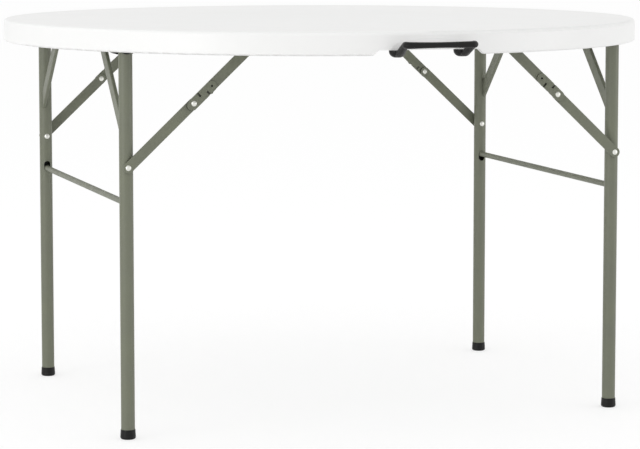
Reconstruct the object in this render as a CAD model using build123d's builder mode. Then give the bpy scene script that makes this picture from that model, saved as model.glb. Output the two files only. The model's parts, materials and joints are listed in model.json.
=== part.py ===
from build123d import *
import math
import os

# Overall sizes in millimetres.
# The floor is z = 0, the handle's side is -Y, and the table's middle is x = y = 0.
table_diameter = 1220.0
table_height = 737.0

# Top: a hollow moulding of an upper shell with its rim, and a lower skin with tack-off cups.
top_thickness = 41.0
panel_depth = 18.5
upper_skin = 3.5
lower_skin = 2.5
rim_wall = 14.0
rim_edge_radius = 6.0
rim_foot_radius = 3.0
rim_lip_radius = 2.5
cup_pitch = 110.0
cup_mouth_radius = 9.0
cup_tip_radius = 5.0
cup_wall = 2.0
cup_margin = 6.0
cups_per_ring = 6

# Notch and finger scoop in the front of the rim, where the handle is.
notch_half_width = 92.0
notch_slope = 11.0
notch_height = 9.5
scoop_radius = 40.0
scoop_depth = 4.0
scoop_height = 12.0
handle_pad_depth = 16.0

# Leg frames: two legs and a top cross tube, which is the axis that the frame folds on.
leg_half_gap = 331.0
frame_clearance = 11.3
tube_diameter = 25.0
tube_wall = 1.2
pivot_gap = 2.0
plug_depth = 9.0
plug_lip = 1.6
plug_lip_angle = 45.0
bar_diameter = 11.0
bar_drop = 278.5
bar_slot_width = 12.5
bar_slot_height = 20.0
bar_end_gap = 0.5
gusset_width = 25.0
gusset_thickness = 7.0
gusset_offset = 5.0
gusset_edge_radius = 2.0
gusset_drop = 138.0
gusset_angle = 45.0

# Foot caps.
cap_height = 17.5
cap_floor = 4.0
cap_top_wall = 0.7
cap_flare = 1.1
cap_edge_radius = 4.0

# Folding braces.
leg_pivot_drop = 214.0
strip_width = 19.0
strip_thickness = 2.5
standoff = 2.5
link_gap = 0.3
fold_clearance = 0.5
lock_thickness = 2.0
lock_tail = 14.0
lock_hole_reach = 45.0
lock_hole_radius = 2.0
lock_slot_width = 3.6
lock_slot_end = 0.6
lock_slot_reach = 17.0
lock_notch_reach = 32.0
lock_lug_reach = 37.0
lock_lug_radius = 4.0
lock_lug_proud = 1.1
lock_recess = 1.0
lock_slot_depth = 1.6

# Rivets.
rivet_radius = 3.0
rivet_head_radius = 5.0
rivet_head_height = 2.0
rivet_collar_radius = 6.0

# Side rails under the top, which carry the braces' upper ends.
rail_overhang = 57.0
rail_thickness = 1.8
rail_depth = 24.0
rail_flange = 26.0
rail_corner_radius = 4.0
rail_clearance = 0.7
rail_screw_margin = 30.0
rail_screw_count = 4

# Brackets in which the cross tubes turn.
bracket_inset = 61.0
bracket_width = 28.0
bracket_wall = 3.2
bracket_ear = 13.0
bracket_ear_thickness = 4.0
bracket_ear_radius = 3.0
bracket_gap = 0.3

# Screws.
screw_radius = 2.4
screw_head_radius = 4.5
screw_head_height = 2.4
screw_head_edge = 1.0
screw_length = 12.0
screw_gap = 0.4

# Carry handle.
handle_half_span = 59.5
handle_splay = 3.0
handle_inset = 6.0
handle_rise = 10.8
grip_diameter = 10.9
grip_end_diameter = 12.5
grip_taper_run = 34.0
grip_bend_radius = 7.5
arm_width = 17.0
arm_thickness = 11.6
arm_gap = 0.1
arm_run = 14.0
arm_slope_angle = 26.5
arm_end_run = 0.4
arm_bend_radius = 13.0
ear_radius = 14.8
ear_height = 12.7
ear_bowl_radius = 11.0
ear_bore_depth = 5.0
ear_screw_shift = 5.0
handle_screw_length = 20.0

# Fits and cutting allowances.
running_gap = 0.06
fixed_gap = 0.05
overrun = 5.0

# Places worked out from the sizes above.
table_radius = table_diameter / 2
inner_radius = table_radius - rim_wall
tube_radius = tube_diameter / 2
cross_half_length = leg_half_gap + tube_radius
leg_spread = math.sqrt((inner_radius - frame_clearance) ** 2 - (cross_half_length + plug_lip) ** 2)
rim_foot = table_height - top_thickness
ceiling = table_height - panel_depth
pivot_height = ceiling - pivot_gap - tube_radius
leg_pivot_height = pivot_height - leg_pivot_drop
bar_height = pivot_height - bar_drop
rail_pivot_run = leg_pivot_drop + strip_width / 2 + rivet_head_radius + fold_clearance
brace_length = math.hypot(leg_pivot_drop, rail_pivot_run)
lower_length = (brace_length + rail_pivot_run - leg_pivot_drop) / 2
upper_length = brace_length - lower_length
brace_shares = (rail_pivot_run / brace_length, leg_pivot_drop / brace_length)
rail_half_length = leg_spread - rail_pivot_run + rail_overhang
rail_screw_step = 2 * (rail_half_length - rail_screw_margin) / (rail_screw_count - 1)
bracket_reach = leg_half_gap - bracket_inset

# Layers of a brace, outward from the leg's axis.
lower_in = tube_radius + standoff
lower_out = lower_in + strip_thickness
upper_in = lower_out + link_gap
upper_out = upper_in + strip_thickness
lock_out = upper_out + lock_thickness
rail_in = lock_out + rivet_head_height + rail_clearance
rail_out = rail_in + rail_thickness
rail_screw_line = leg_half_gap + rail_in + (rail_flange + rail_thickness) / 2
bracket_screw_offset = tube_radius + bracket_gap + bracket_wall + bracket_ear / 2
bracket_half_length = tube_radius + bracket_gap + bracket_wall + bracket_ear

frames = (("left", -1), ("right", 1))
ends = (("front", -1), ("back", 1))
corners = [(f"{frame}_{end}", across, along) for frame, across in frames for end, along in ends]

os.makedirs("parts", exist_ok=True)


def keep(piece, name):
    piece.part.label = name
    export_step(piece.part, f"parts/{name}.step")


def facing_out(x, z, along, out, direction=(1, 0)):
    """A plane at a frame's side, out from the legs' axes, that faces away from the table's middle."""
    origin = (x, along * (leg_half_gap + out), z)
    return Plane(origin=origin, x_dir=(direction[0], 0, direction[1]), z_dir=(0, along, 0))


def turning_plane(x, z, along):
    """A plane for a turned piece at a frame's side, whose X runs outward from the leg's axis."""
    return Plane(origin=(x, along * leg_half_gap, z), x_dir=(0, along, 0), z_dir=(along, 0, 0))


def dome_middle(base, height, radius):
    """The middle point of the arc from (base, radius) to the crown of a domed head on the axis."""
    ball = (radius**2 + height**2) / (2 * abs(height))
    half = math.asin(radius / ball) / 2
    sense = math.copysign(1, height)
    return (base + height - sense * (ball - ball * math.cos(half)), ball * math.sin(half))


def turned_outline(steps, head_in=False, head_out=False):
    """Draws half of a stepped pin above the local X axis, with a domed head at its inner or outer end."""
    start = steps[0][0]
    finish = steps[-1][1]
    turns = [(start, 0)]
    for first, last, radius in steps:
        turns += [(first, radius), (last, radius)]
    turns.append((finish, 0))
    with BuildLine() as stem:
        Polyline(turns, close=True)
    make_face(stem.edges())
    heads = []
    if head_in:
        heads.append((start, -rivet_head_height))
    if head_out:
        heads.append((finish, rivet_head_height))
    for base, height in heads:
        with BuildLine() as dome:
            crown = dome_middle(base, height, rivet_head_radius)
            ThreePointArc((base, rivet_head_radius), crown, (base + height, 0))
            Polyline((base + height, 0), (base, 0), (base, rivet_head_radius))
        make_face(dome.edges())


# Places that the lower skin's cups stay clear of: the rails and the brackets.
rail_screws = [
    ((i - (rail_screw_count - 1) / 2) * rail_screw_step, along * rail_screw_line)
    for along in (-1, 1)
    for i in range(rail_screw_count)
]
bracket_screws = [
    (across * leg_spread + side * bracket_screw_offset, along * bracket_reach)
    for across in (-1, 1)
    for along in (-1, 1)
    for side in (-1, 1)
]


def on_fixing(x, y):
    room = cup_mouth_radius + cup_margin
    rail_near = leg_half_gap + rail_in - room
    rail_far = leg_half_gap + rail_in + rail_flange + room
    on_rail = rail_near < abs(y) < rail_far and abs(x) < rail_half_length + room
    beside_tube = abs(abs(x) - leg_spread) < bracket_half_length + room
    on_bracket = beside_tube and abs(abs(y) - bracket_reach) < bracket_width / 2 + room
    return on_rail or on_bracket


cup_places = []
for ring in range(1, int((inner_radius - cup_pitch / 4) / cup_pitch) + 1):
    for i in range(cups_per_ring * ring):
        angle = 2 * math.pi * i / (cups_per_ring * ring)
        place = (ring * cup_pitch * math.cos(angle), ring * cup_pitch * math.sin(angle))
        if not on_fixing(*place):
            cup_places.append(place)

ear_seat = rim_foot + notch_height
ear_screw_seat = ear_seat - ear_height + ear_bore_depth
ear_y = handle_inset - table_radius
ear_places = [(side * handle_half_span, ear_y) for side in (-1, 1)]
ear_screw_places = [(side * handle_half_span, ear_y + ear_screw_shift) for side in (-1, 1)]

# Tabletop: the upper shell with its rim.
with BuildPart() as tabletop:
    with BuildSketch(Plane.XZ):
        with BuildLine():
            Polyline(
                (0, table_height - upper_skin),
                (0, table_height),
                (table_radius, table_height),
                (table_radius, rim_foot),
                (inner_radius, rim_foot),
                (inner_radius, table_height - upper_skin),
                close=True,
            )
        make_face()
        outer = vertices().group_by(Axis.X)[-1].sort_by(Axis.Y)
        fillet(outer[-1], radius=rim_edge_radius)
        outer_foot = vertices().group_by(Axis.Y)[0].sort_by(Axis.X)[-1]
        fillet(outer_foot, radius=rim_foot_radius)
        inner_foot = vertices().group_by(Axis.Y)[0].sort_by(Axis.X)[0]
        fillet(inner_foot, radius=rim_lip_radius)
    revolve(axis=Axis.Z)
    with BuildSketch(Plane.XZ.offset(table_radius + overrun)):
        with BuildLine():
            Polyline(
                (-notch_half_width - notch_slope, rim_foot - overrun),
                (-notch_half_width - notch_slope, rim_foot),
                (-notch_half_width, rim_foot + notch_height),
                (notch_half_width, rim_foot + notch_height),
                (notch_half_width + notch_slope, rim_foot),
                (notch_half_width + notch_slope, rim_foot - overrun),
                close=True,
            )
        make_face()
    extrude(amount=-rim_wall * 2, mode=Mode.SUBTRACT)
    with Locations((0, scoop_depth - table_radius - scoop_radius, rim_foot + scoop_height)):
        Cylinder(scoop_radius, 2 * notch_half_width, rotation=(0, 90, 0), mode=Mode.SUBTRACT)
    with BuildSketch(Plane.XY.offset(ear_seat)):
        Circle(inner_radius + rim_wall / 2)
        Circle(inner_radius - handle_pad_depth, mode=Mode.SUBTRACT)
        with Locations((0, -inner_radius)):
            Rectangle(2 * notch_half_width, 4 * handle_pad_depth, mode=Mode.INTERSECT)
    extrude(amount=ceiling - ear_seat)
    with BuildSketch(Plane.XY.offset(rim_foot)):
        with Locations(*ear_screw_places):
            Circle(screw_radius + fixed_gap)
    extrude(amount=ear_screw_seat + handle_screw_length + fixed_gap - rim_foot, mode=Mode.SUBTRACT)
keep(tabletop, "tabletop")

# Underside panel: the lower skin, with cups that reach up to the upper shell.
from_below = (Align.CENTER, Align.CENTER, Align.MIN)
cup_depth = panel_depth - upper_skin
cup_seats = [(x, y, ceiling) for x, y in cup_places]
with BuildPart() as underside_panel:
    with Locations((0, 0, ceiling)):
        Cylinder(inner_radius, lower_skin, align=from_below)
    with Locations(*cup_seats):
        Cone(cup_mouth_radius + cup_wall, cup_tip_radius + cup_wall, cup_depth, align=from_below)
    with Locations(*cup_seats):
        Cone(cup_mouth_radius, cup_tip_radius, cup_depth - cup_wall, align=from_below, mode=Mode.SUBTRACT)
    with Locations(*[(x, y, ceiling) for x, y in rail_screws + bracket_screws]):
        Cylinder(screw_radius + screw_gap, lower_skin, align=from_below, mode=Mode.SUBTRACT)
keep(underside_panel, "underside_panel")


def screws(places, seat, length, name):
    """A node of like screws, driven upward, with their heads' upper faces at the seat's height."""
    with BuildPart() as group:
        with Locations(*[(x, y, seat - screw_head_height) for x, y in places]):
            Cylinder(screw_head_radius, screw_head_height, align=from_below)
        fillet(group.edges().filter_by(GeomType.CIRCLE).group_by(Axis.Z)[0], radius=screw_head_edge)
        with Locations(*[(x, y, seat) for x, y in places]):
            Cylinder(screw_radius, length, align=from_below)
    keep(group, name)


# Side rails: an angle section along X, whose upright leg carries the braces' upper pivots.
for end, along in ends:
    upright = along * (leg_half_gap + rail_in)
    with BuildPart() as rail:
        with BuildSketch(Plane.YZ.offset(-rail_half_length)):
            with BuildLine():
                Polyline(
                    (upright, ceiling - rail_depth),
                    (upright, ceiling),
                    (upright + along * rail_flange, ceiling),
                    (upright + along * rail_flange, ceiling - rail_thickness),
                    (upright + along * rail_thickness, ceiling - rail_thickness),
                    (upright + along * rail_thickness, ceiling - rail_depth),
                    close=True,
                )
            make_face()
        extrude(amount=2 * rail_half_length)
        tips = rail.edges().filter_by(Axis.Y).group_by(Axis.Z)[0]
        fillet(tips, radius=rail_corner_radius)
        tips = rail.edges().filter_by(Axis.Z).group_by(SortBy.LENGTH)[0]
        fillet(tips, radius=rail_corner_radius)
        with Locations(*[(x, y, ceiling) for x, y in rail_screws if y * along > 0]):
            Cylinder(screw_radius + screw_gap, rail_thickness * 2, mode=Mode.SUBTRACT)
        for across in (-1, 1):
            pivot = across * (leg_spread - rail_pivot_run)
            with BuildSketch(facing_out(pivot, pivot_height, along, rail_in)):
                Circle(rivet_radius + fixed_gap)
            extrude(amount=rail_thickness, mode=Mode.SUBTRACT)
    keep(rail, f"{end}_rail")
screws(rail_screws, ceiling - rail_thickness, screw_length, "rail_screws")

# Brackets: a strap round the cross tube with an ear at each side, screwed to the lower skin.
strap_radius = tube_radius + bracket_gap + bracket_wall
for corner, across, along in corners:
    with BuildPart() as bracket:
        with BuildSketch(Plane.XZ.offset(-along * bracket_reach)):
            with Locations((across * leg_spread, pivot_height)):
                Circle(strap_radius)
            with Locations((across * leg_spread, (pivot_height + ceiling) / 2)):
                Rectangle(2 * strap_radius, ceiling - pivot_height)
            with Locations((across * leg_spread, ceiling - bracket_ear_thickness / 2)):
                Rectangle(2 * bracket_half_length, bracket_ear_thickness)
            with Locations((across * leg_spread, pivot_height)):
                Circle(tube_radius + bracket_gap, mode=Mode.SUBTRACT)
            with Locations((across * leg_spread, table_height)):
                Rectangle(2 * bracket_half_length, 2 * panel_depth, mode=Mode.SUBTRACT)
        extrude(amount=bracket_width / 2, both=True)
        upright = bracket.edges().filter_by(Axis.Z)
        fillet(upright.group_by(SortBy.LENGTH)[0], radius=bracket_ear_radius)
        for side in (-1, 1):
            screw_x = across * leg_spread + side * bracket_screw_offset
            with Locations((screw_x, along * bracket_reach, ceiling)):
                Cylinder(screw_radius + screw_gap, bracket_ear_thickness * 3, mode=Mode.SUBTRACT)
    keep(bracket, f"{corner}_bracket")
screws(bracket_screws, ceiling - bracket_ear_thickness, screw_length, "bracket_screws")

# Leg frames, left and right.
bore_radius = tube_radius - tube_wall
gusset_shares = (math.cos(math.radians(gusset_angle)), math.sin(math.radians(gusset_angle)))
gusset_low = pivot_height - gusset_drop - tube_radius * gusset_shares[1] / gusset_shares[0]
gusset_length = (pivot_height - gusset_low) / gusset_shares[1]
slot_shift = bar_slot_height / 2 - bar_diameter / 2 - fixed_gap

for frame, across in frames:
    frame_x = across * leg_spread
    # The bar rests low in the left frame's slots and high in the right frame's.
    slot_height = bar_height - across * slot_shift

    with BuildPart() as cross_tube:
        with BuildSketch(Plane(origin=(frame_x, -cross_half_length, pivot_height), z_dir=(0, 1, 0))):
            Circle(tube_radius)
            Circle(bore_radius, mode=Mode.SUBTRACT)
        extrude(amount=2 * cross_half_length)
    keep(cross_tube, f"{frame}_cross_tube")

    with BuildPart() as plugs:
        for end, along in ends:
            tip = Plane(origin=(frame_x, along * cross_half_length, pivot_height), z_dir=(0, along, 0))
            with BuildSketch(tip.offset(-plug_depth)):
                Circle(bore_radius - fixed_gap)
            extrude(amount=plug_depth)
            with BuildSketch(tip):
                Circle(tube_radius)
            extrude(amount=plug_lip, taper=plug_lip_angle)
    keep(plugs, f"{frame}_cross_tube_plugs")

    with BuildPart() as crossbar:
        bar_half_length = leg_half_gap + math.sqrt(bore_radius**2 - (bar_diameter / 2) ** 2) - bar_end_gap
        with BuildSketch(Plane(origin=(frame_x, -bar_half_length, bar_height), z_dir=(0, 1, 0))):
            Circle(bar_diameter / 2)
        extrude(amount=2 * bar_half_length)
        fillet(crossbar.edges().filter_by(GeomType.CIRCLE), radius=bar_end_gap)
    keep(crossbar, f"{frame}_crossbar")

    for end, along in ends:
        leg_y = along * leg_half_gap

        with BuildPart() as leg:
            with BuildSketch(Plane.XY.offset(cap_floor)):
                with Locations((frame_x, leg_y)):
                    Circle(tube_radius)
                    Circle(bore_radius, mode=Mode.SUBTRACT)
            extrude(amount=pivot_height - cap_floor)
            with Locations((frame_x, 0, pivot_height)):
                Cylinder(tube_radius, table_diameter, rotation=(90, 0, 0), mode=Mode.SUBTRACT)
            with BuildSketch(facing_out(frame_x, leg_pivot_height, along, -2 * tube_radius)):
                Circle(rivet_radius + fixed_gap)
            extrude(amount=4 * tube_radius, mode=Mode.SUBTRACT)
            with BuildSketch(facing_out(frame_x, slot_height, along, -2 * tube_radius)):
                SlotOverall(bar_slot_height, bar_slot_width, rotation=90)
            extrude(amount=2 * tube_radius, mode=Mode.SUBTRACT)
        keep(leg, f"{frame}_{end}_leg")

        with BuildPart() as foot_cap:
            cap_top = tube_radius + fixed_gap + cap_top_wall
            with BuildSketch(Plane.XZ):
                with BuildLine():
                    Polyline(
                        (0, 0),
                        (cap_top + cap_flare, 0),
                        (cap_top, cap_height),
                        (tube_radius + fixed_gap, cap_height),
                        (tube_radius + fixed_gap, cap_floor),
                        (0, cap_floor),
                        close=True,
                    )
                make_face()
                fillet(vertices().group_by(Axis.Y)[0].sort_by(Axis.X)[-1], radius=cap_edge_radius)
            revolve(axis=Axis.Z)
        foot_cap.part.position = (frame_x, leg_y, 0)
        keep(foot_cap, f"{frame}_{end}_foot_cap")

        with BuildPart() as gusset:
            outward = Plane.YZ.offset(frame_x + across * gusset_offset)
            middle_y = along * (leg_half_gap - gusset_shares[0] * gusset_length / 2)
            middle_z = gusset_low + gusset_shares[1] * gusset_length / 2
            with BuildSketch(outward):
                with Locations((middle_y, middle_z)):
                    Rectangle(gusset_length, gusset_width, rotation=-along * gusset_angle)
            extrude(amount=gusset_thickness / 2, both=True)
            grain = Axis((0, 0, 0), (0, -along * gusset_shares[0], gusset_shares[1]))
            fillet(gusset.edges().filter_by(grain), radius=gusset_edge_radius)
            with Locations((frame_x, leg_y, pivot_height / 2)):
                Cylinder(tube_radius, pivot_height, mode=Mode.SUBTRACT)
            with Locations((frame_x, 0, pivot_height)):
                Cylinder(tube_radius, table_diameter, rotation=(90, 0, 0), mode=Mode.SUBTRACT)
        keep(gusset, f"{frame}_{end}_gusset")

    with BuildPart() as leg_rivets:
        for end, along in ends:
            seat = turning_plane(frame_x, leg_pivot_height, along)
            sink = tube_radius - rivet_collar_radius / 2
            with BuildSketch(seat):
                turned_outline([(-tube_radius, -sink, rivet_head_radius)], head_in=True)
                turned_outline([(sink, lower_in, rivet_collar_radius)])
                turned_outline([(lower_in, lower_out, rivet_radius)])
                turned_outline([(lower_out, lower_out + fixed_gap, rivet_head_radius)], head_out=True)
            revolve(axis=Axis(seat.origin, seat.x_dir))
            with Locations((frame_x, along * leg_half_gap, leg_pivot_height)):
                Cylinder(tube_radius, 4 * rivet_collar_radius, mode=Mode.SUBTRACT)
            with BuildSketch(seat):
                turned_outline([(-tube_radius, lower_in, rivet_radius)])
            revolve(axis=Axis(seat.origin, seat.x_dir))
    keep(leg_rivets, f"{frame}_leg_rivets")

# Folding braces: a lower link on the leg, an upper link on the rail, and a lock plate at the middle.
hole_radius = rivet_radius + running_gap


def edge_slot(reach, side):
    """Draws a slot that runs in from a strip's edge, at its reach along the local X axis."""
    with Locations((reach, side * (strip_width / 2 + lock_slot_end) / 2)):
        Rectangle(lock_slot_width, strip_width / 2 - lock_slot_end)


def lock_marks(pivot, inward):
    """Draws the lock's hole and its two edge slots, at their reach from the middle pivot."""
    edge_slot(pivot + lock_slot_reach, inward)
    edge_slot(pivot + lock_notch_reach, -inward)
    with Locations((pivot + lock_hole_reach, 0)):
        Circle(lock_hole_radius)


for corner, across, along in corners:
    frame_x = across * leg_spread
    run, rise = brace_shares
    slope = (-across * run, rise)
    rail_pivot = (across * (leg_spread - rail_pivot_run), pivot_height)
    middle = (frame_x - across * run * lower_length, leg_pivot_height + rise * lower_length)
    inward = across * along

    with BuildPart() as lower_link:
        centre = ((frame_x + middle[0]) / 2, (leg_pivot_height + middle[1]) / 2)
        with BuildSketch(facing_out(*centre, along, lower_in, slope)):
            SlotCenterToCenter(lower_length, strip_width)
            with Locations((-lower_length / 2, 0), (lower_length / 2, 0)):
                Circle(hole_radius, mode=Mode.SUBTRACT)
        extrude(amount=strip_thickness)
    keep(lower_link, f"{corner}_lower_link")

    with BuildPart() as upper_link:
        centre = ((rail_pivot[0] + middle[0]) / 2, (rail_pivot[1] + middle[1]) / 2)
        with BuildSketch(facing_out(*centre, along, upper_in, slope)):
            SlotCenterToCenter(upper_length, strip_width)
            with Locations((-upper_length / 2, 0), (upper_length / 2, 0)):
                Circle(hole_radius, mode=Mode.SUBTRACT)
        extrude(amount=strip_thickness)
        with BuildSketch(facing_out(*centre, along, upper_out, slope)):
            lock_marks(-upper_length / 2, inward)
        extrude(amount=-lock_recess, mode=Mode.SUBTRACT)
        with BuildSketch(facing_out(*centre, along, upper_in, slope)):
            edge_slot(lock_slot_reach - upper_length / 2, -inward)
        extrude(amount=lock_slot_depth, mode=Mode.SUBTRACT)
    keep(upper_link, f"{corner}_upper_link")

    with BuildPart() as lock_plate:
        half = strip_width / 2
        with BuildSketch(facing_out(*middle, along, upper_out, slope)):
            with Locations(((lock_hole_reach - lock_tail + half) / 2, 0)):
                SlotOverall(lock_hole_reach + lock_tail + half, strip_width)
            with Locations((lock_lug_reach, -inward * (half + lock_lug_proud - lock_lug_radius))):
                Circle(lock_lug_radius)
            Circle(hole_radius, mode=Mode.SUBTRACT)
        extrude(amount=lock_thickness)
        with BuildSketch(facing_out(*middle, along, upper_out, slope)):
            lock_marks(0, inward)
        extrude(amount=lock_thickness, mode=Mode.SUBTRACT)
    keep(lock_plate, f"{corner}_lock_plate")

    middle_seat = turning_plane(*middle, along)
    with BuildPart() as middle_pin:
        with BuildSketch(middle_seat):
            turned_outline([(lower_in - fixed_gap, lower_in, rivet_head_radius)], head_in=True)
            turned_outline([(lower_in, lower_out, rivet_radius)])
        revolve(axis=Axis(middle_seat.origin, middle_seat.x_dir))
    keep(middle_pin, f"{corner}_middle_pin")

    with BuildPart() as middle_rivet:
        with BuildSketch(middle_seat):
            turned_outline([(upper_in, lock_out, rivet_radius)])
            turned_outline([(lock_out, lock_out + fixed_gap, rivet_head_radius)], head_out=True)
        revolve(axis=Axis(middle_seat.origin, middle_seat.x_dir))
    keep(middle_rivet, f"{corner}_middle_rivet")

# Rivets that hold the braces' upper ends to the rails.
with BuildPart() as rail_rivets:
    for corner, across, along in corners:
        seat = turning_plane(across * (leg_spread - rail_pivot_run), pivot_height, along)
        with BuildSketch(seat):
            turned_outline([(upper_in, upper_out, rivet_radius)])
            turned_outline([(upper_out, rail_in, rivet_collar_radius)])
            turned_outline([(rail_in, rail_out, rivet_radius)])
            turned_outline([(rail_out, rail_out + fixed_gap, rivet_head_radius)], head_out=True)
        revolve(axis=Axis(seat.origin, seat.x_dir))
keep(rail_rivets, "rail_rivets")

# Carry handle: a grip that thickens into two flattened arms, each ending in a domed ear under the notch.
arm_height = ear_seat - arm_gap - arm_thickness / 2
grip_height = ear_seat + handle_rise
arm_slope = math.radians(arm_slope_angle)
arm_rise_run = (grip_height - arm_height) / math.tan(arm_slope)
elbow_y = ear_y - arm_run
shoulder_y = elbow_y - arm_rise_run
grip_y = shoulder_y - arm_bend_radius * math.tan(arm_slope / 2) - arm_end_run - grip_bend_radius
half_grip = handle_half_span + handle_splay
half_elbow = handle_half_span + handle_splay * arm_run / (arm_run + arm_rise_run)
arm_length = arm_run + math.hypot(arm_rise_run, grip_height - arm_height)
with BuildPart() as handle:
    with Locations(*[(x, y, ear_seat - ear_height) for x, y in ear_places]):
        Cylinder(ear_radius, ear_height, align=from_below)
    bowls = handle.edges().filter_by(GeomType.CIRCLE).group_by(Axis.Z)[0]
    fillet(bowls, radius=ear_bowl_radius)
    bends = [arm_bend_radius, arm_bend_radius, grip_bend_radius]
    with BuildLine() as spine:
        FilletPolyline(
            (-handle_half_span, ear_y, arm_height),
            (-half_elbow, elbow_y, arm_height),
            (-half_grip, shoulder_y, grip_height),
            (-half_grip, grip_y, grip_height),
            (half_grip, grip_y, grip_height),
            (half_grip, shoulder_y, grip_height),
            (half_elbow, elbow_y, arm_height),
            (handle_half_span, ear_y, arm_height),
            radius=bends + bends[::-1],
        )
    route = spine.wire()
    near_sections = (
        (0, arm_width, arm_thickness),
        (arm_length, grip_end_diameter, grip_end_diameter),
        (arm_length + grip_taper_run, grip_diameter, grip_diameter),
    )
    far_sections = [(route.length - run, wide, thick) for run, wide, thick in near_sections[::-1]]
    for run, wide, thick in (*near_sections, *far_sections):
        ahead = route % (run / route.length)
        level = ahead.cross(Vector(0, 0, 1))
        with BuildSketch(Plane(origin=route @ (run / route.length), x_dir=level, z_dir=ahead)):
            Ellipse(wide / 2, thick / 2)
    sweep(path=route, multisection=True)
    with Locations(*[(x, y, ear_seat - ear_height) for x, y in ear_screw_places]):
        Cylinder(screw_head_radius + fixed_gap, ear_bore_depth, align=from_below, mode=Mode.SUBTRACT)
        Cylinder(screw_radius + screw_gap, ear_height, align=from_below, mode=Mode.SUBTRACT)
keep(handle, "handle")
screws(ear_screw_places, ear_screw_seat, handle_screw_length, "handle_screws")
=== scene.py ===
import json
import math

import bmesh
import bpy
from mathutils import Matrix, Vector


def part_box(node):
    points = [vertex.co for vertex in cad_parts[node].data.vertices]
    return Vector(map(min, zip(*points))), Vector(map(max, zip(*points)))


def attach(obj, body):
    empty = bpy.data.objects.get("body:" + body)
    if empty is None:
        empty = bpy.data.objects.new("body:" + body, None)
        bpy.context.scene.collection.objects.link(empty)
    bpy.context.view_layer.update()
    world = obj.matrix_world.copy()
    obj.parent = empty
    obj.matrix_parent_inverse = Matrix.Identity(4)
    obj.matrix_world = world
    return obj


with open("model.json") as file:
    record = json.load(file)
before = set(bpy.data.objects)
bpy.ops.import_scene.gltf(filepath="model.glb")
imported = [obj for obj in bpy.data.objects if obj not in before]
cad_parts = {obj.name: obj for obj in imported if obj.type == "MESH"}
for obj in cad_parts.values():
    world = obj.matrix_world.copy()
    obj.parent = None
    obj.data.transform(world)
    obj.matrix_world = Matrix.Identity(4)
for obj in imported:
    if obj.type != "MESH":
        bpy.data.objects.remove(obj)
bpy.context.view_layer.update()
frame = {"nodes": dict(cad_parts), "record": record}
nodes = frame["nodes"]
scene = bpy.context.scene
pure_white = (1, 1, 1, 1)

# The photograph's width, in pixels, and a full-frame sensor's, in millimetres.
image_width = 640
sensor_width = 36.0

# Camera, in metres and radians, as fitted to the table's rim, legs, feet and rivets.
camera_place = (-1.58223, -4.74848, 0.95243)
camera_yaw = -0.32194
camera_pitch = 0.09882
focal_pixels = 2569.13
frame_shift = -0.10
far_clip = 100


def make_camera():
    data = bpy.data.cameras.new("camera")
    data.sensor_fit = "HORIZONTAL"
    data.sensor_width = sensor_width
    data.lens = focal_pixels / image_width * sensor_width
    data.shift_y = frame_shift
    data.clip_end = far_clip
    camera = bpy.data.objects.new("camera", data)
    camera.location = camera_place
    camera.rotation_euler = (math.pi / 2 - camera_pitch, 0, camera_yaw)
    scene.collection.objects.link(camera)
    scene.camera = camera


# Light: a pale room that is seen as white, and a round lamp at each side and above, in metres and watts.
room_fill_strength = 0.88
room_seen_strength = 1.0
lamps = {
    "left_box": {"place": (-4.6, -2.2, 1.1), "aim": (-0.3, 0, 0.5), "size": 2.2, "watts": 54.0},
    "right_box": {"place": (4.4, -2.4, 1.1), "aim": (0.3, 0, 0.5), "size": 2.2, "watts": 30.0},
    "top_box": {"place": (-0.9, -0.6, 3.9), "aim": (0, 0, 0), "size": 3.2, "watts": 4.0},
}


def make_lamp(name, place, aim, size, watts):
    data = bpy.data.lights.new(name, "AREA")
    data.shape = "DISK"
    data.size = size
    data.energy = watts
    lamp = bpy.data.objects.new(name, data)
    lamp.location = place
    lamp.rotation_euler = (Vector(aim) - Vector(place)).to_track_quat("-Z", "Y").to_euler()
    scene.collection.objects.link(lamp)


def seen_directly(tree):
    """A socket that is 1 for camera, mirrored and see-through rays, and 0 for light that fills the room."""
    path = tree.nodes.new("ShaderNodeLightPath")
    seen = path.outputs["Is Camera Ray"]
    for ray in ("Is Glossy Ray", "Is Transmission Ray"):
        either = tree.nodes.new("ShaderNodeMath")
        either.operation = "MAXIMUM"
        tree.links.new(seen, either.inputs[0])
        tree.links.new(path.outputs[ray], either.inputs[1])
        seen = either.outputs[0]
    return seen


def make_world():
    world = bpy.data.worlds.new("room")
    world.use_nodes = True
    tree = world.node_tree
    tree.nodes.clear()
    out = tree.nodes.new("ShaderNodeOutputWorld")
    mix = tree.nodes.new("ShaderNodeMixShader")
    fill = tree.nodes.new("ShaderNodeBackground")
    seen = tree.nodes.new("ShaderNodeBackground")
    for node, strength in ((fill, room_fill_strength), (seen, room_seen_strength)):
        node.inputs["Color"].default_value = pure_white
        node.inputs["Strength"].default_value = strength
    tree.links.new(seen_directly(tree), mix.inputs["Fac"])
    tree.links.new(fill.outputs[0], mix.inputs[1])
    tree.links.new(seen.outputs[0], mix.inputs[2])
    tree.links.new(mix.outputs[0], out.inputs["Surface"])
    scene.world = world


# Floor: pale, seen as nearly white with a faint shadow, and clear from below.
floor_half_width = 30.0
floor_colour = (0.86, 0.86, 0.86, 1)
floor_glow_share = 0.5
floor_glow_strength = 1.22


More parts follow.
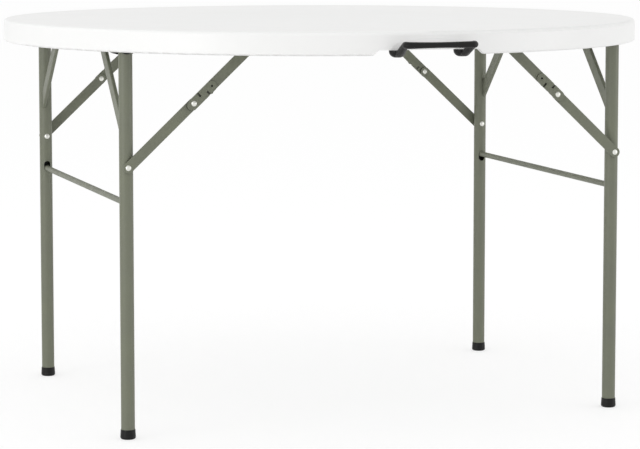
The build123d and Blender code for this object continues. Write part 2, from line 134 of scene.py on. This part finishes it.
def floor_material():
    material = bpy.data.materials.new("floor")
    material.use_nodes = True
    tree = material.node_tree
    tree.nodes.clear()
    out = tree.nodes.new("ShaderNodeOutputMaterial")
    matt = tree.nodes.new("ShaderNodeBsdfDiffuse")
    matt.inputs["Color"].default_value = floor_colour
    glow = tree.nodes.new("ShaderNodeEmission")
    glow.inputs["Color"].default_value = pure_white
    glow.inputs["Strength"].default_value = floor_glow_strength
    share = tree.nodes.new("ShaderNodeMath")
    share.operation = "MULTIPLY"
    share.inputs[1].default_value = floor_glow_share
    tree.links.new(seen_directly(tree), share.inputs[0])
    lit = tree.nodes.new("ShaderNodeMixShader")
    tree.links.new(share.outputs[0], lit.inputs["Fac"])
    tree.links.new(matt.outputs[0], lit.inputs[1])
    tree.links.new(glow.outputs[0], lit.inputs[2])
    clear = tree.nodes.new("ShaderNodeBsdfTransparent")
    side = tree.nodes.new("ShaderNodeNewGeometry")
    shown = tree.nodes.new("ShaderNodeMixShader")
    tree.links.new(side.outputs["Backfacing"], shown.inputs["Fac"])
    tree.links.new(lit.outputs[0], shown.inputs[1])
    tree.links.new(clear.outputs[0], shown.inputs[2])
    tree.links.new(shown.outputs[0], out.inputs["Surface"])
    return material


def make_floor():
    mesh = bpy.data.meshes.new("floor")
    w = floor_half_width
    mesh.from_pydata([(-w, -w, 0), (w, -w, 0), (w, w, 0), (-w, w, 0)], [], [(0, 1, 2, 3)])
    mesh.materials.append(floor_material())
    floor = bpy.data.objects.new("floor", mesh)
    scene.collection.objects.link(floor)


# Materials: patterns and relief in metres, colours as linear red, green and blue with an alpha of 1.
noise_roughness = 0.55


class Finish:
    """A Principled material that is built up from patterns in the object's own metres."""

    def __init__(self, name, colour, roughness, metallic=0.0, specular=0.5):
        self.material = bpy.data.materials.new(name)
        self.material.use_nodes = True
        self.material.diffuse_color = colour
        self.tree = self.material.node_tree
        self.shader = self.tree.nodes["Principled BSDF"]
        self.shader.inputs["Base Color"].default_value = colour
        self.shader.inputs["Roughness"].default_value = roughness
        self.shader.inputs["Metallic"].default_value = metallic
        self.shader.inputs["Specular IOR Level"].default_value = specular
        self.colour = colour
        self.place = self.tree.nodes.new("ShaderNodeTexCoord").outputs["Object"]

    def noise(self, size, detail=3.0):
        """A noise pattern whose features are about size metres across."""
        texture = self.tree.nodes.new("ShaderNodeTexNoise")
        texture.inputs["Scale"].default_value = 1 / size
        texture.inputs["Detail"].default_value = detail
        texture.inputs["Roughness"].default_value = noise_roughness
        self.tree.links.new(self.place, texture.inputs["Vector"])
        return texture.outputs["Fac"]

    def painted_shade_mask(self, distance):
        """A mask for painted shade: 1 on open faces, falling towards 0 in slots and joints, over a
        distance.
        """
        shelter = self.tree.nodes.new("ShaderNodeAmbientOcclusion")
        shelter.inputs["Distance"].default_value = distance
        return shelter.outputs["AO"]

    def spread(self, pattern, low, high, centre=0.5, reach=0.2):
        """Maps a pattern's values near its centre onto low to high."""
        ranged = self.tree.nodes.new("ShaderNodeMapRange")
        ranged.inputs["From Min"].default_value = centre - reach
        ranged.inputs["From Max"].default_value = centre + reach
        ranged.inputs["To Min"].default_value = low
        ranged.inputs["To Max"].default_value = high
        self.tree.links.new(pattern, ranged.inputs["Value"])
        return ranged.outputs["Result"]

    def vary_roughness(self, pattern, low, high):
        self.tree.links.new(self.spread(pattern, low, high), self.shader.inputs["Roughness"])

    def tint(self, pattern, colour, low=0.0, high=1.0, centre=0.5, reach=0.2):
        """Mixes a second colour in, whose share runs from low to high with the pattern."""
        mix = self.tree.nodes.new("ShaderNodeMix")
        mix.data_type = "RGBA"
        base = self.shader.inputs["Base Color"]
        if base.is_linked:
            self.tree.links.new(base.links[0].from_socket, mix.inputs["A"])
        else:
            mix.inputs["A"].default_value = self.colour
        mix.inputs["B"].default_value = colour
        self.tree.links.new(self.spread(pattern, low, high, centre, reach), mix.inputs["Factor"])
        self.tree.links.new(mix.outputs["Result"], base)

    def bump(self, pattern, depth, strength=1.0):
        """Adds surface relief of the given depth in metres."""
        node = self.tree.nodes.new("ShaderNodeBump")
        node.inputs["Strength"].default_value = strength
        node.inputs["Distance"].default_value = depth
        self.tree.links.new(pattern, node.inputs["Height"])
        normal = self.shader.inputs["Normal"]
        if normal.is_linked:
            self.tree.links.new(normal.links[0].from_socket, node.inputs["Normal"])
        self.tree.links.new(node.outputs["Normal"], normal)


def white_plastic():
    """Blow-moulded polyethylene: off-white, with a fine pebbled grain and faint flow marks."""
    finish = Finish("white_plastic", colour=(0.87, 0.87, 0.862, 1), roughness=0.44, specular=0.45)
    finish.tint(finish.noise(size=0.22, detail=2.0), colour=(0.86, 0.862, 0.853, 1))
    finish.vary_roughness(finish.noise(size=0.05), low=0.38, high=0.48)
    finish.bump(finish.noise(size=0.0016, detail=2.0), depth=0.00006)
    finish.bump(finish.noise(size=0.012, detail=1.0), depth=0.00010, strength=0.5)
    return finish.material


def painted_steel():
    """Powder coat in a grey-green, with orange peel and faint clouds, and painted dark shade in seams and
    slots.
    """
    finish = Finish("painted_steel", colour=(0.168, 0.178, 0.127, 1), roughness=0.42, specular=0.36)
    clouds = finish.noise(size=0.06, detail=2.0)
    finish.tint(clouds, colour=(0.157, 0.165, 0.124, 1))
    specks = finish.noise(size=0.0022, detail=1.0)
    finish.tint(specks, colour=(0.185, 0.193, 0.152, 1), high=0.5, centre=0.62, reach=0.06)
    # Painted shade: the colour darkens to near black where the surface is sheltered within 5 mm, in seams,
    # slots and joints.
    seams = finish.painted_shade_mask(distance=0.005)
    finish.tint(seams, colour=(0.012, 0.012, 0.010, 1), low=0.96, high=0.0, centre=0.6, reach=0.25)
    # Painted shade: the colour goes near black inside the tubes and deep holes, where the surface is
    # sheltered within 30 mm.
    slots = finish.painted_shade_mask(distance=0.03)
    finish.tint(slots, colour=(0.002, 0.002, 0.002, 1), low=1.0, high=0.0, centre=0.22, reach=0.12)
    finish.vary_roughness(finish.noise(size=0.02), low=0.38, high=0.48)
    finish.bump(finish.noise(size=0.0028, detail=2.0), depth=0.00005)
    return finish.material


def black_plastic():
    """Satin moulded plastic with a fine spark-eroded grain."""
    finish = Finish("black_plastic", colour=(0.0055, 0.0055, 0.0055, 1), roughness=0.5, specular=0.22)
    finish.tint(finish.noise(size=0.03, detail=2.0), colour=(0.0075, 0.0075, 0.0072, 1))
    finish.vary_roughness(finish.noise(size=0.012), low=0.36, high=0.5)
    finish.bump(finish.noise(size=0.0011, detail=2.0), depth=0.00004)
    return finish.material


def zinc_steel():
    """Bright zinc plate, slightly mottled."""
    finish = Finish("zinc_steel", colour=(0.80, 0.80, 0.75, 1), roughness=0.42, metallic=1.0)
    finish.tint(finish.noise(size=0.003, detail=2.0), colour=(0.72, 0.73, 0.69, 1), high=0.6)
    finish.vary_roughness(finish.noise(size=0.0015), low=0.38, high=0.48)
    finish.bump(finish.noise(size=0.001, detail=1.0), depth=0.00002)
    return finish.material


def dress_nodes():
    """Gives each node the material of its slot, and returns the materials by slot."""
    materials = {
        "white_plastic": white_plastic(),
        "painted_steel": painted_steel(),
        "black_plastic": black_plastic(),
        "zinc_steel": zinc_steel(),
    }
    for row in frame["record"]["subparts"]:
        node = nodes[row["node"]]
        node.data.materials.clear()
        node.data.materials.append(materials[row["material_slot"]])
    return materials


# Weld beads, in metres: the gussets' ends and the legs' coped tops, on the tubes that they are welded to.
bead_radius = 0.0014
bead_step = 0.0004
bead_sides = 8
bead_ripple_share = 0.14
bead_ripple_steps = 5
bead_end_steps = 4
gusset_drop = 0.138
gusset_width = 0.025
gusset_edge_radius = 0.002
cope_turn = math.radians(290)


def add_bead(shape, route):
    """Adds a closed, rippled tube along a route of places, each with a direction square to the route."""
    rings = []
    last = len(route) - 1
    for i, (place, outward) in enumerate(route):
        ahead = route[min(i + 1, last)][0] - route[max(i - 1, 0)][0]
        side = ahead.cross(outward).normalized()
        ripple = 1 + bead_ripple_share * math.cos(2 * math.pi * i / bead_ripple_steps)
        radius = bead_radius * ripple * min(1, (min(i, last - i) + 1) / bead_end_steps)
        ring = []
        for k in range(bead_sides):
            turn = 2 * math.pi * k / bead_sides
            spoke = math.cos(turn) * outward + math.sin(turn) * side
            ring.append(shape.verts.new(place + radius * spoke))
        rings.append(ring)
    for near, far in zip(rings, rings[1:]):
        for k in range(bead_sides):
            after = (k + 1) % bead_sides
            shape.faces.new((near[k], near[after], far[after], far[k]))
    shape.faces.new(rings[0])
    shape.faces.new(rings[-1])


def straight_seam(middle, reach):
    """A seam on a flat side of a gusset, from middle - reach to middle + reach."""
    start = middle - reach
    end = middle + reach
    steps = round((end - start).length / bead_step)
    return [(start.lerp(end, i / steps), Vector((1, 0, 0))) for i in range(steps + 1)]


def cope_seam(leg, radius, height, inward):
    """The seam of a leg's coped top, round its inner side and its flanks."""
    steps = round(cope_turn * radius / bead_step)
    seam = []
    for i in range(steps + 1):
        turn = inward * math.pi / 2 + (i / steps - 0.5) * cope_turn
        outward = Vector((math.cos(turn), math.sin(turn), 0))
        place = leg + radius * outward
        place.z = height - radius * abs(outward.y)
        seam.append((place, outward))
    return seam


def gusset_seams(leg, tube, radius, face, inward):
    """The seams of one face of a gusset: at its foot on the leg and at its head on the cross tube."""
    # The gusset's middle line, at 45 degrees, would meet the leg's axis at this height.
    line_low = tube.z - gusset_drop - radius
    depth = math.sqrt(radius**2 - (face - tube.x) ** 2)
    run = tube.z - depth - line_low
    half_seam = gusset_width / math.sqrt(2) - gusset_edge_radius
    foot = Vector((face, leg.y + inward * depth, line_low + depth))
    head = Vector((face, leg.y + inward * run, tube.z - depth))
    return [
        straight_seam(foot, Vector((0, 0, half_seam))),
        straight_seam(head, Vector((0, half_seam, 0))),
    ]


def make_welds(frame_name, material):
    tube_low, tube_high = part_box(f"{frame_name}_cross_tube")
    tube = (tube_low + tube_high) / 2
    radius = (tube_high.z - tube_low.z) / 2
    shape = bmesh.new()
    for end, inward in (("front", 1), ("back", -1)):
        leg_low, leg_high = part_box(f"{frame_name}_{end}_leg")
        leg = (leg_low + leg_high) / 2
        add_bead(shape, cope_seam(leg, radius, tube.z, inward))
        gusset_low, gusset_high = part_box(f"{frame_name}_{end}_gusset")
        for face in (gusset_low.x, gusset_high.x):
            for seam in gusset_seams(leg, tube, radius, face, inward):
                add_bead(shape, seam)
    bmesh.ops.recalc_face_normals(shape, faces=shape.faces)
    mesh = bpy.data.meshes.new(f"{frame_name}_welds")
    shape.to_mesh(mesh)
    shape.free()
    mesh.shade_smooth()
    mesh.materials.append(material)
    welds = bpy.data.objects.new(f"{frame_name}_welds", mesh)
    scene.collection.objects.link(welds)
    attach(welds, f"{frame_name}_leg_frame")


make_camera()
make_world()
make_floor()
for name, lamp in lamps.items():
    make_lamp(name, **lamp)
materials = dress_nodes()
for frame_name in ("left", "right"):
    make_welds(frame_name, materials["painted_steel"])

scene.view_settings.view_transform = "Standard"
